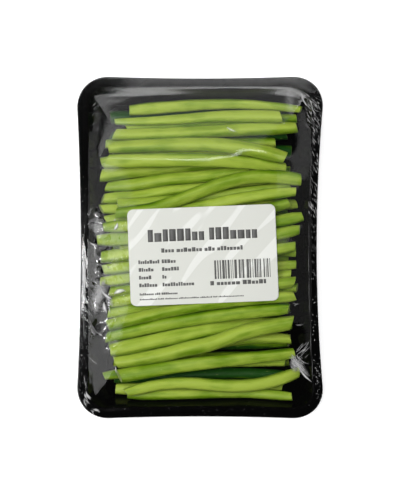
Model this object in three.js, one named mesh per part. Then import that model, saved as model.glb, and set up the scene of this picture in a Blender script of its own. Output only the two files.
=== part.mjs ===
// A retail tray pack of trimmed green beans: a shallow thermoformed tray, a bundle of beans lying side by
// side across it, a clear stretch film pulled round both, and a paper label stuck on the film.
// Millimetres, +Z up. The origin is the middle of the pack's underside; +Y runs along the tray's longer
// side, and the beans lie along X.
import * as THREE from "three";

// ---- driving dimensions --------------------------------------------------------------------------------
// The flange: its outline, its width and its turned-down edge.
const RIM = { halfX: 66.3, halfY: 92.5, corner: 16, width: 5.4, lip: 2.2 };
// How far the stretched film draws the rim in at the middle of its sides, the share of that which reaches
// the opening inside the rim and the foot of the walls, and where along a side it starts.
const WAIST = { left: 1.8, right: 3.2, ends: 0.9, opening: 0.6, foot: 0.25, startY: 0.8, startX: 0.72 };
const TRAY = { height: 25.2, wall: 0.8, baseHalfX: 53.6, baseHalfY: 80.4, baseCorner: 11 };
const FOOT = 1.6; // the chamfer between the tray's base and its walls
const PANEL = { inset: 13, rise: 2.2, ramp: 2.4, corner: 7 }; // the raised panel in the tray's base
const FILM = { thick: 0.4, crown: 3.4, baseOverhang: 0.9 };
// Where the film's folded edges don't quite meet, underneath.
const SLOT = { halfX: 3, halfY: 36, corner: 2.9 };
const LABEL = { width: 80.5, height: 52.5, corner: 3.2, thick: 0.35, centre: [1.6, -4.1], turn: 2.3 };
const GAP = 0.3; // between pieces that touch
const SEED = 250;

const filmUnder = FILM.thick + GAP; // height of the tray's underside above the surface
const floorZ = filmUnder + PANEL.rise + TRAY.wall; // the panel's top, on which the beans lie
const rimTopZ = filmUnder + TRAY.height;
const innerX = RIM.halfX - RIM.width;
const innerY = RIM.halfY - RIM.width;
const wallFootZ = filmUnder + FOOT + TRAY.wall * 0.6; // where the walls' inner face starts
const wallTopZ = rimTopZ - 0.7; // where it turns out into the flange

// ---- small tools ---------------------------------------------------------------------------------------
// mulberry32: the same draws on every run.
function seeded(seed) {
  let a = seed >>> 0;
  return () => {
    a = (a + 0x6d2b79f5) >>> 0;
    let t = Math.imul(a ^ (a >>> 15), 1 | a);
    t = (t + Math.imul(t ^ (t >>> 7), 61 | t)) ^ t;
    return ((t ^ (t >>> 14)) >>> 0) / 4294967296;
  };
}
const random = seeded(SEED);
const between = (low, high) => low + (high - low) * random();
const mix = (a, b, t) => a + (b - a) * t;

// A closed body through a stack of loops with equal point counts. The first and last are closed by fans.
function loft(loops) {
  const n = loops[0].length;
  const points = loops.flat();
  const faces = [];
  for (let k = 0; k + 1 < loops.length; k++)
    for (let i = 0; i < n; i++) {
      const a = k * n + i;
      const b = k * n + ((i + 1) % n);
      faces.push(a, b, b + n, a, b + n, a + n);
    }
  const ends = [[loops[0], 0, true], [loops.at(-1), (loops.length - 1) * n, false]];
  for (const [loop, start, turned] of ends) {
    const hub = points.length;
    points.push(loop.reduce((sum, p) => sum.add(p), new THREE.Vector3()).divideScalar(n));
    for (let i = 0; i < n; i++) {
      const edge = [start + i, start + ((i + 1) % n)];
      faces.push(...(turned ? edge.reverse() : edge), hub);
    }
  }
  return facingOut(points, faces);
}

// Turns every face round when the signed volume is negative, and makes the geometry.
function facingOut(points, faces) {
  let volume = 0;
  for (let i = 0; i < faces.length; i += 3) {
    const [p, q, r] = [0, 1, 2].map((k) => points[faces[i + k]]);
    volume += p.dot(new THREE.Vector3().crossVectors(q, r));
  }
  const index = volume < 0 ? faces.slice().reverse() : faces;
  const geometry = new THREE.BufferGeometry().setFromPoints(points);
  geometry.setIndex(index);
  geometry.computeVertexNormals();
  return geometry;
}

// A rounded rectangle as points, anticlockwise: each corner is an arc, each side is cut into equal steps.
function roundedRectangle(halfX, halfY, corner, arcSteps, shortSteps, longSteps) {
  const points = [];
  const signs = [[1, 1], [-1, 1], [-1, -1], [1, -1]];
  signs.forEach(([sx, sy], k) => {
    const centre = new THREE.Vector2(sx * (halfX - corner), sy * (halfY - corner));
    for (let i = 0; i <= arcSteps; i++) {
      const angle = ((k + i / arcSteps) * Math.PI) / 2;
      points.push(new THREE.Vector2(corner, 0).rotateAround(new THREE.Vector2(), angle).add(centre));
    }
    const [nx, ny] = signs[(k + 1) % 4];
    const from = points.at(-1);
    const inset = from.clone().sub(centre);
    const to = new THREE.Vector2(nx * (halfX - corner), ny * (halfY - corner)).add(inset);
    const steps = k % 2 ? longSteps : shortSteps;
    for (let i = 1; i < steps; i++) points.push(from.clone().lerp(to, i / steps));
  });
  return points;
}

// How far a long side is drawn in at v, from -1 to 1 along it, and an end at u, from -1 to 1 across it.
const drawnIn = (u, v) => (u < 0 ? WAIST.left : WAIST.right) * (1 - (v / WAIST.startY) ** 2);
const drawnInEnds = (u) => WAIST.ends * (1 - (u / WAIST.startX) ** 2);

// One loop round the pack: a rounded rectangle whose sides are drawn in by share of the full waist. height
// is a number or a function of x and y.
function packLoop(halfX, halfY, corner, height, share = 1) {
  return roundedRectangle(halfX, halfY, corner, 7, 4, 8).map((p) => {
    const [u, v] = [p.x / halfX, p.y / halfY];
    const x = p.x - share * u * drawnIn(u, v);
    const y = p.y - share * v * drawnInEnds(u);
    return new THREE.Vector3(x, y, typeof height === "function" ? height(x, y) : height);
  });
}

// ---- the tray ------------------------------------------------------------------------------------------
// One formed sheet: a base with a raised panel, sloping walls, a flat flange and a turned-down edge.
function trayGeometry() {
  const w = TRAY.wall;
  const base = filmUnder;
  const top = rimTopZ;
  const { opening, foot } = WAIST;
  // Loops that lie some way inside each of the four outlines, at a height.
  const rim = (inside, z, share = 1) =>
    packLoop(RIM.halfX - inside, RIM.halfY - inside, RIM.corner - inside, z, share);
  const mouth = (outside, z, share) =>
    packLoop(innerX + outside, innerY + outside, RIM.corner - RIM.width + outside, z, share);
  const wallFoot = (inside, z) =>
    packLoop(TRAY.baseHalfX - inside, TRAY.baseHalfY - inside, TRAY.baseCorner - inside, z, foot);
  const [panelX, panelY] = [TRAY.baseHalfX - PANEL.inset, TRAY.baseHalfY - PANEL.inset];
  const panel = (inside, z) =>
    packLoop(panelX - inside, panelY - inside, PANEL.corner - inside / 2, z, 0);
  const under = [
    panel(PANEL.ramp, base + PANEL.rise),
    panel(0, base),
    wallFoot(FOOT, base),
    wallFoot(0, base + FOOT),
    mouth(w, top - w, opening),
    rim(w, top - w),
    rim(w * 0.6, top - RIM.lip),
  ];
  const over = [
    rim(0, top - RIM.lip),
    rim(0.2, top - 0.5),
    rim(0.8, top),
    mouth(0.7, top, opening),
    mouth(0, wallTopZ, opening),
    wallFoot(w, wallFootZ),
    wallFoot(FOOT + w, base + w),
    panel(-w * 0.8, base + w),
    panel(PANEL.ramp - w * 0.4, floorZ),
  ];
  return loft([...under, ...over]);
}

// ---- the film ------------------------------------------------------------------------------------------
// The height of the film's underside over the beans: flat on the flange, crowned over the bundle.
function filmHeight(x, y) {
  const u = Math.min(1, Math.abs(x) / innerX);
  const v = Math.min(1, Math.abs(y) / innerY);
  return rimTopZ + GAP + FILM.crown * (1 - u ** 4) * (1 - v ** 6);
}

// The skin's loops from the middle of the top out over the flange, straight down to the base and in to the
// slot. lift is 0 on the side that faces the tray and the film's thickness on the outside.
function filmLoops(lift) {
  const outX = RIM.halfX + GAP + lift;
  const outY = RIM.halfY + GAP + lift;
  const height = (x, y) => filmHeight(x, y) + lift;
  const top = [0.14, 0.36, 0.58, 0.78, 0.92, 1].map((s) =>
    packLoop(innerX * s, innerY * s, Math.max(5, (RIM.corner - RIM.width) * s), height, s * WAIST.opening));
  const footX = TRAY.baseHalfX + FILM.baseOverhang + lift;
  const footY = TRAY.baseHalfY + FILM.baseOverhang + lift;
  return [
    ...top,
    packLoop(outX - 1.2, outY - 1.2, RIM.corner - 1, rimTopZ + GAP + lift),
    packLoop(outX, outY, RIM.corner + lift, rimTopZ - 0.9),
    packLoop(outX, outY, RIM.corner + lift, rimTopZ - RIM.lip - 0.2),
    packLoop(footX, footY, TRAY.baseCorner + lift, filmUnder, WAIST.foot),
    packLoop(footX - 1.4, footY - 1.4, TRAY.baseCorner - 1 + lift, FILM.thick - lift, WAIST.foot),
    packLoop(SLOT.halfX, SLOT.halfY, SLOT.corner, FILM.thick - lift, 0),
  ];
}
const filmGeometry = () => loft([...filmLoops(FILM.thick), ...filmLoops(0).reverse()]);

// ---- the label -----------------------------------------------------------------------------------------
// A rounded paper sticker, turned a little, that lies on the film and takes its crown.
function labelGeometry() {
  const turn = THREE.MathUtils.degToRad(LABEL.turn);
  const centre = new THREE.Vector2(...LABEL.centre);
  const ring = (share, lift) => {
    const [halfX, halfY, corner] = [LABEL.width / 2, LABEL.height / 2, LABEL.corner].map((v) => v * share);
    return roundedRectangle(halfX, halfY, corner, 3, 6, 4).map((p) => {
      const q = p.rotateAround(new THREE.Vector2(), turn).add(centre);
      return new THREE.Vector3(q.x, q.y, filmHeight(q.x, q.y) + FILM.thick + GAP + lift);
    });
  };
  const shares = [0.3, 0.65, 1];
  return loft([
    ...shares.map((s) => ring(s, 0)),
    ...shares.toReversed().map((s) => ring(s, LABEL.thick)),
  ]);
}

// ---- the beans: where each is laid ---------------------------------------------------------------------
// The upper beans, laid by hand: left end x, y; right end x, y; how far the middle bows towards +Y; how far
// the first quarter sways towards +Y and the third quarter towards -Y; thickness at the left and at the
// right; level at the left and at the right, from 1, tucked under its neighbours, to 3, on top. The last
// three lie under the others, and two of them are short ones that hold up their left ends.
const UPPER = [
  [-39.2, 75.2, 56.5, 75.9, 4.0, -0.3, 7.6, 4.2, 3.0, 3.0],
  [-42.0, 66.0, 53.5, 71.0, 0.0, 0.0, 6.2, 6.2, 1.0, 1.0],
  [-47.5, 69.2, 45.2, 71.1, 0.9, -0.8, 4.0, 7.4, 2.2, 2.2],
  [-48.7, 62.0, 54.0, 66.2, -0.5, -0.3, 6.4, 7.0, 2.7, 2.7],
  [-52.3, 57.2, 41.8, 57.6, 0.0, 0.0, 6.4, 6.6, 1.0, 1.0],
  [-50.7, 54.8, 47.3, 48.0, 4.6, -0.8, 7.0, 7.8, 2.8, 3.2],
  [-55.0, 46.5, 33.0, 51.0, 0.0, 0.0, 6.6, 6.6, 0.8, 0.8],
  [-52.6, 47.1, 47.2, 43.4, 2.6, -0.3, 8.2, 6.6, 2.9, 0.8],
  [-55.8, 38.4, 29.0, 47.5, 1.2, 0.0, 7.8, 6.8, 1.8, 1.2],
  [-53.0, 33.0, 27.0, 44.0, -2.4, 0.0, 6.4, 7.4, 2.4, 1.6],
  [-55.2, 25.9, 49.5, 36.4, 0.0, 0.0, 6.6, 6.4, 1.4, 0.6],
  [-46.5, 17.4, 55.5, 36.1, 5.6, -3.4, 6.6, 7.8, 3.0, 3.2],
  [-45.5, 22.8, 50.0, 34.0, -1.0, -0.4, 6.6, 6.0, 1.4, 0.8],
  [-53.0, 17.4, 52.9, 30.6, -0.5, -0.8, 6.8, 6.4, 1.6, 1.7],
  [-55.8, 20.0, 54.0, 23.7, 0.0, 0.0, 6.0, 6.4, 1.2, 1.4],
  [-53.0, 11.0, 49.3, 25.5, -5.0, 2.0, 6.6, 6.4, 2.6, 2.6],
  [-56.5, 3.8, 56.5, 17.0, -3.0, 0.0, 7.8, 6.8, 2.2, 2.2],
  [-54.5, -5.2, 55.5, 10.0, -1.0, 0.0, 7.2, 6.6, 2.6, 2.6],
  [-53.8, -12.8, 52.5, 0.5, 1.5, 0.0, 7.0, 6.6, 2.2, 2.2],
  [-55.0, -19.4, 53.0, -10.0, 0.0, 0.0, 6.0, 6.4, 2.6, 2.6],
  [-51.0, -25.0, 50.5, -14.5, 0.0, 0.0, 6.4, 6.2, 1.6, 1.6],
  [-48.5, -29.0, 52.5, -18.5, 0.0, 0.0, 6.4, 6.4, 2.4, 2.4],
  [-51.5, -36.0, 54.5, -22.0, 2.8, 0.0, 6.6, 6.2, 2.0, 2.0],
  [-51.3, -42.7, 53.0, -26.7, 3.3, -0.3, 6.4, 6.8, 2.6, 2.6],
  [-52.8, -49.6, 49.9, -33.0, 3.1, -0.5, 7.6, 6.8, 2.2, 2.2],
  [-49.2, -58.2, 43.0, -41.4, 4.2, 0.0, 8.6, 6.4, 3.0, 0.4],
  [-47.5, -62.3, 52.0, -41.4, 1.2, -2.2, 7.0, 9.0, 2.6, 3.4],
  [-48.0, -63.0, 50.6, -50.8, 3.3, -1.9, 6.4, 6.0, 0.8, 1.6],
  [-45.8, -69.7, 52.2, -57.8, 0.9, 0.5, 8.4, 6.2, 2.8, 2.4],
  [-54.0, -71.4, 48.5, -62.8, 3.0, 0.0, 6.2, 6.6, 1.4, 1.4],
  [-48.0, -73.0, 50.0, -72.0, 0.0, 0.0, 6.8, 6.6, -0.5, -0.5],
  [-47.0, -79.4, 46.5, -78.8, 0.0, 0.0, 7.0, 7.8, 1.6, 1.6],
  [-42.0, -80.0, 56.0, -68.0, -1.6, 3.4, 6.2, 7.4, 3.6, 3.4],
  [-40.0, -81.2, 51.2, -82.4, 0.0, 0.0, 6.2, 5.4, 3.2, 3.2],
  [-45.0, 0.4, 53.0, -3.4, 0.0, 0.0, 6.4, 6.4, 1.2, 1.2],
  [-50.0, -56.0, 7.0, -47.0, 0.0, 0.0, 7.4, 7.0, 0.6, 0.2],
  [-50.5, -47.0, 10.0, -39.0, 0.0, 0.0, 7.4, 7.2, 0.6, 0.4],
];

// The beans under them, which only the edges and gaps show: two evenly spaced rows with a little scatter.
// The second row lies where the upper beans are fewest.
const LOWER = [
  { count: 14, from: -63, to: 73, thick: [7.6, 8.4], level: -0.6 },
  { count: 6, from: -34, to: 12, thick: [7.0, 7.6], level: 0.4 },
];

const STATIONS = 11; // rings along a bean
const BEAN_SIDES = 8;
const LEVEL_STEP = 7; // rise from one level to the next before the bundle settles
const LEVEL_ZERO = floorZ + 8.2; // height of level 0

// Both trimmed ends are a little slimmer than the body between them.
const taper = (t) => 0.92 + 0.08 * Math.sin(Math.PI * t) ** 0.6;

function layBean([x0, y0, x1, y1, bow, sway, thickLeft, thickRight, levelLeft, levelRight]) {
  return Array.from({ length: STATIONS }, (_, k) => {
    const t = k / (STATIONS - 1);
    const y = mix(y0, y1, t) + bow * Math.sin(Math.PI * t) + sway * Math.sin(2 * Math.PI * t);
    const z = LEVEL_ZERO + mix(levelLeft, levelRight, t) * LEVEL_STEP;
    return { x: mix(x0, x1, t), y, z, homeY: y, homeZ: z, r: mix(thickLeft, thickRight, t) / 2 * taper(t) };
  });
}

function layAll() {
  const beans = UPPER.map(layBean);
  for (const row of LOWER)
    for (let i = 0; i < row.count; i++) {
      const y = mix(row.from, row.to, i / (row.count - 1)) + between(-1, 1);
      const half = between(48.5, 50.5);
      const shift = between(-1.5, 1.5);
      const ends = [shift - half, y + between(-1.5, 1.5), shift + half, y + between(-1.5, 1.5)];
      const curve = [between(-1.5, 1.5), between(-0.8, 0.8)];
      const thickness = [between(...row.thick), between(...row.thick)];
      beans.push(layBean([...ends, ...curve, ...thickness, row.level, row.level]));
    }
  return beans;
}

// ---- the beans: how the bundle settles -----------------------------------------------------------------
// Beans run along X, so contact is worked out in the plane across them: each station or half-way point of
// one bean is set against the slice of another at the same x, and the two are pushed apart along the line
// between them. The tray's floor and walls and the film push too. Each push moves the bean's nearest
// stations, and smoothing the bean's displacement from the line on which it was laid stands for its
// stiffness.
const ROUNDS = 420;
const FILM_DOWN = 0.8; // the share of the rounds after which the film is down
const LET_GO = 0.93; // the share after which only contact moves the beans
const HEADROOM = 26; // how high the film is held at first: it comes down on the bundle
const SINK = 0.3; // a bean's fall in the first round, in millimetres
const HOMING = 0.2; // pull back to the line on which it was laid, across the tray
const SIDEWAYS = 0.3; // how much of a push goes sideways while the bundle is still loose
const STIFF = 0.5; // share of a bean's uneven movement that is taken out in each round
const BEND_KEPT = 0.96; // share of its bending that it keeps in each round
const CLEAR = 0.28; // kept between two beans
const BEAN_GAP = 0.35; // kept from the tray and film

function sliceAt(bean, x) {
  const span = (x - bean[0].x) / (bean.at(-1).x - bean[0].x) * (STATIONS - 1);
  if (span < 0 || span > STATIONS - 1) return null;
  const k = Math.min(STATIONS - 2, Math.floor(span));
  const f = span - k;
  const [a, b] = [bean[k], bean[k + 1]];
  const slope = Math.hypot(b.y - a.y, b.z - a.z) / (b.x - a.x);
  return { k, f, y: mix(a.y, b.y, f), z: mix(a.z, b.z, f), r: mix(a.r, b.r, f) * Math.hypot(1, slope) };
}

function nudge(bean, { k, f }, dy, dz) {
  const share = 1 / ((1 - f) ** 2 + f ** 2);
  bean[k].y += dy * (1 - f) * share;
  bean[k].z += dz * (1 - f) * share;
  bean[k + 1].y += dy * f * share;
  bean[k + 1].z += dz * f * share;
}

// Calls visit(slice of a, slice of b, distance, overlap) wherever two beans come closer than they may.
function forContacts(beans, visit) {
  beans.forEach((a, i) => {
    for (let half = 0; half <= 2 * (STATIONS - 1); half++) {
      const x = mix(a[0].x, a.at(-1).x, half / (2 * (STATIONS - 1)));
      const own = sliceAt(a, x - Math.sign(half - STATIONS + 1) * 1e-6);
      beans.forEach((b, j) => {
        if (i === j) return;
        const other = sliceAt(b, x);
        if (!other) return;
        const apart = Math.hypot(own.y - other.y, own.z - other.z);
        const overlap = own.r + other.r + CLEAR - apart;
        if (overlap > 0) visit({ a, b, own, other, apart, overlap });
      });
    }
  });
}

// The tray's inner face at a height: its half sizes, corner radius and share of the waist.
function innerFace(z) {
  const t = (z - wallFootZ) / (wallTopZ - wallFootZ);
  return {
    halfX: mix(TRAY.baseHalfX - TRAY.wall, innerX, t),
    halfY: mix(TRAY.baseHalfY - TRAY.wall, innerY, t),
    corner: mix(TRAY.baseCorner - TRAY.wall, RIM.corner - RIM.width, t),
    share: mix(WAIST.foot, WAIST.opening, t),
  };
}

// How far a point lies outside that face, or, as a negative number, inside it.
function outside(x, y, z) {
  const { halfX, halfY, corner, share } = innerFace(z);
  const [u, v] = [x / halfX, y / halfY].map((w) => Math.min(1, Math.max(-1, w)));
  const sideX = Math.abs(x) + share * drawnIn(u, v) - halfX + corner;
  const sideY = Math.abs(y) + share * drawnInEnds(u) - halfY + corner;
  return Math.hypot(Math.max(sideX, 0), Math.max(sideY, 0)) + Math.min(Math.max(sideX, sideY), 0) - corner;
}

const STEEPNESS = (wallTopZ - wallFootZ) / (innerX - TRAY.baseHalfX + TRAY.wall); // of the walls
const MOST_CLIMB = 0.4; // an end's rise up a wall in one pass
const STRAIGHT_HALF = 38; // the long stretch of the short walls, where a bean's side may lie against them

// Keeps a station on the tray's floor, inside its walls and under the film. An end that meets a wall rides
// up it, where the lower edge of a rising bean's cut face reaches out furthest, and a side that meets the
// wall moves in.
function hold(bean, k, headroom) {
  const s = bean[k];
  const lowest = floorZ + s.r + BEAN_GAP;
  const highest = filmHeight(s.x, s.y) + headroom - s.r - BEAN_GAP;
  if (k === 0 || k === STATIONS - 1) {
    const next = bean[k ? k - 1 : 1];
    const rise = Math.max(0, s.z - next.z) / Math.abs(s.x - next.x);
    const reach = s.x + Math.sign(s.x) * s.r * rise / Math.hypot(1, rise);
    const below = outside(reach, s.y, s.z - s.r);
    const beside = outside(reach, Math.abs(s.y) + 0.75 * s.r, s.z - 0.7 * s.r);
    const climb = Math.min(MOST_CLIMB, STEEPNESS * Math.max(0, below + BEAN_GAP, beside + BEAN_GAP));
    s.z += climb;
    next.z += 0.7 * climb;
  }
  s.z = Math.min(Math.max(s.z, lowest), highest);
  const middleX = Math.min(Math.abs(s.x), STRAIGHT_HALF);
  const past = outside(middleX, s.y, Math.min(s.z, rimTopZ)) + s.r * 1.06 + BEAN_GAP;
  if (past > 0) s.y -= Math.sign(s.y) * past;
}

// The ways a bean can move as a whole: shift, tilt, bow and sway, as unit vectors over its stations, each
// square to those before it.
const SHAPES = [() => 1, (t) => t, (t) => Math.sin(Math.PI * t), (t) => Math.sin(2 * Math.PI * t)];
const MODES = SHAPES.reduce((modes, shape) => {
  const raw = Array.from({ length: STATIONS }, (_, k) => shape(k / (STATIONS - 1)));
  const rest = modes.reduce((left, mode) => left.map((v, k) => v - along(raw, mode) * mode[k]), raw);
  return [...modes, rest.map((v) => v / Math.hypot(...rest))];
}, []);

function along(values, mode) {
  return values.reduce((sum, v, k) => sum + v * mode[k], 0);
}

// Draws a bean's displacement from the line on which it was laid towards those few even movements.
function stiffen(bean) {
  for (const [axis, home] of [["y", "homeY"], ["z", "homeZ"]]) {
    const moved = bean.map((s) => s[axis] - s[home]);
    const parts = MODES.map((mode, m) => along(moved, mode) * (m > 1 ? BEND_KEPT : 1));
    bean.forEach((s, k) => {
      const smooth = parts.reduce((sum, part, m) => sum + part * MODES[m][k], 0);
      s[axis] += STIFF * (smooth - moved[k]);
    });
  }
}

function settle(beans) {
  for (let round = 0; round < ROUNDS; round++) {
    const late = round / ROUNDS;
    const headroom = HEADROOM * Math.max(0, 1 - late / FILM_DOWN) ** 2;
    for (const bean of beans)
      for (const s of bean) {
        s.z -= SINK * (1 - late) ** 2;
        s.y += HOMING * Math.max(0, 1 - late / LET_GO) ** 0.5 * (s.homeY - s.y);
      }
    for (let pass = 0; pass < 2; pass++) {
      forContacts(beans, ({ a, b, own, other, apart, overlap }) => {
        const push = (0.3 * overlap) / Math.max(apart, 0.5);
        const dy = (own.y - other.y) * push * mix(SIDEWAYS, 1, late ** 8);
        const dz = (own.z - other.z) * push;
        nudge(a, own, dy, dz);
        nudge(b, other, -dy, -dz);
      });
      for (const bean of beans) bean.forEach((s, k) => hold(bean, k, headroom));
    }
    if (late < LET_GO) beans.forEach(stiffen);
  }
  return beans;
}

// What little overlap is left is taken off both beans' thickness.
function slimWhereTight(beans) {
  const least = beans.map(() => 0);
  forContacts(beans, ({ a, b, overlap }) => {
    const over = overlap - CLEAR / 2;
    for (const bean of [a, b]) {
      const at = beans.indexOf(bean);
      least[at] = Math.max(least[at], over / 2);
    }
  });
  beans.forEach((bean, i) => bean.forEach((s) => { s.r -= least[i]; }));
}

// ---- the beans: their shape ----------------------------------------------------------------------------
// A slim pod cut square at both ends: round rings square to the line through the stations.
function beanGeometry(bean) {
  const centres = bean.map((s) => new THREE.Vector3(s.x, s.y, s.z));
  const rings = centres.map((centre, k) => {
    const [before, after] = [centres[Math.max(k - 1, 0)], centres[Math.min(k + 1, STATIONS - 1)]];
    const forward = after.clone().sub(before).normalize();
    const side = new THREE.Vector3(0, 0, 1).cross(forward).normalize();
    const top = forward.clone().cross(side);
    return Array.from({ length: BEAN_SIDES }, (_, i) => {
      const angle = ((i + 0.5) / BEAN_SIDES) * 2 * Math.PI;
      return centre.clone()
        .addScaledVector(side, bean[k].r * Math.cos(angle))
        .addScaledVector(top, bean[k].r * Math.sin(angle));
    });
  });
  return loft(rings);
}

// ---- the pack ------------------------------------------------------------------------------------------
const pack = new THREE.Group();
function add(name, geometry, material) {
  const mesh = new THREE.Mesh(geometry, new THREE.MeshStandardMaterial(material));
  mesh.name = name;
  pack.add(mesh);
}

add("tray", trayGeometry(), { color: 0x0d0e0d, roughness: 0.32, metalness: 0 });
const clear = { transparent: true, opacity: 0.16 };
add("film", filmGeometry(), { color: 0xe9eeee, roughness: 0.08, metalness: 0, ...clear });
add("label", labelGeometry(), { color: 0xe9ebe5, roughness: 0.5, metalness: 0 });

const bundle = settle(layAll());
slimWhereTight(bundle);
const beanGreens = [0x93ab45, 0x8aa63c, 0x9cb251, 0x819b38];
bundle.forEach((bean, i) => {
  const name = `bean_${String(i + 1).padStart(2, "0")}`;
  add(name, beanGeometry(bean), { color: beanGreens[i % beanGreens.length], roughness: 0.42, metalness: 0 });
});

export default pack;
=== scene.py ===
"""A retail tray pack of trimmed green beans: a black formed tray, beans laid across it, clear stretch film
and a paper label. Lengths are in millimetres until a mesh is made, then in metres, in the frame of the
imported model: +Y along the tray's longer side, the beans along X, +Z up, the surface at Z = 0."""
import bpy
import numpy as np
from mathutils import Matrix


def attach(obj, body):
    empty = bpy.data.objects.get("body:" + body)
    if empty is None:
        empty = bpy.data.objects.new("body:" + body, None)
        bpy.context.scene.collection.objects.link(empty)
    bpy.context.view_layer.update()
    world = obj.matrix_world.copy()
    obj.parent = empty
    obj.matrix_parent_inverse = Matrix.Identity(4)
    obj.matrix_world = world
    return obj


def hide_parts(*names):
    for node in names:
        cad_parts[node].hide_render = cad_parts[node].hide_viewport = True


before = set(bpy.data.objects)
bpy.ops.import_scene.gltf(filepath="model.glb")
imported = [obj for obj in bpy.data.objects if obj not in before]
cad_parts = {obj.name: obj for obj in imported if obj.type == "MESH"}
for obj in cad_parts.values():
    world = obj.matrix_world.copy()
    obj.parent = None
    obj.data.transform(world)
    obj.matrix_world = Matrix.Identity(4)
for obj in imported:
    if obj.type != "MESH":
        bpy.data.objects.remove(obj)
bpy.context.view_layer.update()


# ---- the camera ----------------------------------------------------------------------------------------
# It hangs straight above the pack and looks down, with +Y at the top of the picture.
camera_data = bpy.data.cameras.new("camera")
camera_data.lens = 123.85
camera_data.clip_start, camera_data.clip_end = 0.05, 20.0
camera = bpy.data.objects.new("camera", camera_data)
camera.location = (0.00027, 0.0041, 0.926)
bpy.context.scene.collection.objects.link(camera)
bpy.context.scene.camera = camera


# ---- the tray ------------------------------------------------------------------------------------------
# One sheet of black polypropylene, drawn hot into a mould: a raised panel in the base, sloping walls, and a
# flat flange with a turned-down edge. The film draws its sides in by a waist at the rim, less at the mouth
# and the foot, over a part of each long side and each end.
WAIST_LEFT, WAIST_RIGHT, WAIST_ENDS = 1.8, 3.2, 0.9
WAIST_MOUTH, WAIST_FOOT = 0.6, 0.25
SIDE_PART, END_PART = 0.8, 0.72
RIM_X, RIM_Y, RIM_CORNER, RIM_TOP = 66.95, 93.1, 18.2, 25.9
MOUTH_X, MOUTH_Y, MOUTH_CORNER = 60.9, 87.1, 10.6
FOOT_X, FOOT_Y, FOOT_CORNER = 53.6, 80.4, 11.0
PANEL_INSET, PANEL_RISE, TURN_DOWN = 13, 2.2, 2.2
TRAY_BASE, SHEET = 0.7, 0.8
BEND_STEPS, BEND_MOST = 5, 0.45
MILLIMETRE = 0.001


def edge_places(arc, short, long):
    """The places round a rounded rectangle, anticlockwise from +X: for each, where its arc's centre lies, as
    shares of the way to the corners, and the outward direction. Arcs and sides have equal steps."""
    signs = np.array([(1, 1), (-1, 1), (-1, -1), (1, -1)], float)
    centres, outward = [], []
    for k in range(4):
        angle = np.pi / 2 * (k + np.arange(arc + 1) / arc)
        turn = np.stack([np.cos(angle), np.sin(angle)], 1)
        steps = long if k % 2 else short
        t = np.arange(1, steps)[:, None] / steps
        centres += [np.repeat(signs[k:k + 1], arc + 1, 0), signs[k] + t * (signs[(k + 1) % 4] - signs[k])]
        outward += [turn, np.repeat(turn[-1:], steps - 1, 0)]
    return np.concatenate(centres), np.concatenate(outward)


def pack_loops(table, places):
    """Loops round the pack, one for each row of half size along X, along Y, corner radius, share of the waist
    and height: at each place the arc's centre, inside the half sizes by the radius, plus the radius along the
    outward direction. Each side is then drawn in by its waist times 1 - (place along it / part) squared."""
    centres, outward = places
    half_x, half_y, corner, share, z = (column[:, None] for column in np.asarray(table, float).T)
    x = centres[:, 0] * (half_x - corner) + outward[:, 0] * corner
    y = centres[:, 1] * (half_y - corner) + outward[:, 1] * corner
    u, v = x / half_x, y / half_y
    side_waist = np.where(u < 0, WAIST_LEFT, WAIST_RIGHT) * (1 - (v / SIDE_PART) ** 2)
    return np.stack([x - share * u * side_waist,
                     y - share * v * WAIST_ENDS * (1 - (u / END_PART) ** 2), z + 0 * x], 2)


def rounded(profile, reach):
    """A profile with soft bends: each inner row is swapped for a parabola that leaves the line before it and
    joins the line after it at its reach, or at BEND_MOST of the line where that is less."""
    before, here, after = profile[:-2], profile[1:-1], profile[2:]
    cut = [np.minimum(BEND_MOST, reach[:, None] / np.linalg.norm((side - here)[:, [0, 4]], axis=1)[:, None])
           for side in (before, after)]
    start, end = here + cut[0] * (before - here), here + cut[1] * (after - here)
    t = np.linspace(0, 1, BEND_STEPS)[:, None]
    bends = [(1 - t) ** 2 * a + 2 * t * (1 - t) * b + t ** 2 * c for a, b, c in zip(start, here, end)]
    return np.concatenate([profile[:1], *bends, profile[-1:]])


def closed_faces(rows, columns):
    """Faces of a closed body of rings: quads between neighbouring rings, whose last point joins the first,
    and triangles from the first and the last ring to two points that follow the rings."""
    ring = np.arange(columns)
    after = (ring + 1) % columns
    a, b = (np.arange(rows - 1)[:, None] * columns + column for column in (ring, after))
    quads = np.stack([a, b, b + columns, a + columns], 2).reshape(-1, 4)
    last = (rows - 1) * columns
    first_fan = np.stack([after, ring, np.full(columns, rows * columns)], 1)
    last_fan = np.stack([last + ring, last + after, np.full(columns, rows * columns + 1)], 1)
    return quads.tolist() + first_fan.tolist() + last_fan.tolist()


def new_piece(name, points, faces, material):
    """A piece that rides on the pack, at the origin, with points in millimetres, shaded smooth."""
    mesh = bpy.data.meshes.new(name)
    mesh.from_pydata((points * MILLIMETRE).tolist(), [], faces)
    mesh.shade_smooth()
    mesh.materials.append(material)
    piece = bpy.data.objects.new(name, mesh)
    bpy.context.scene.collection.objects.link(piece)
    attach(piece, "root")
    return piece


def ring_body(name, rings, material):
    """A closed body through rings of points, with the middle of its first and last ring as their caps."""
    rows, columns = rings.shape[:2]
    points = np.concatenate([rings.reshape(-1, 3), rings[[0, -1]].mean(1)])
    return new_piece(name, points, closed_faces(rows, columns), material)


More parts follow.
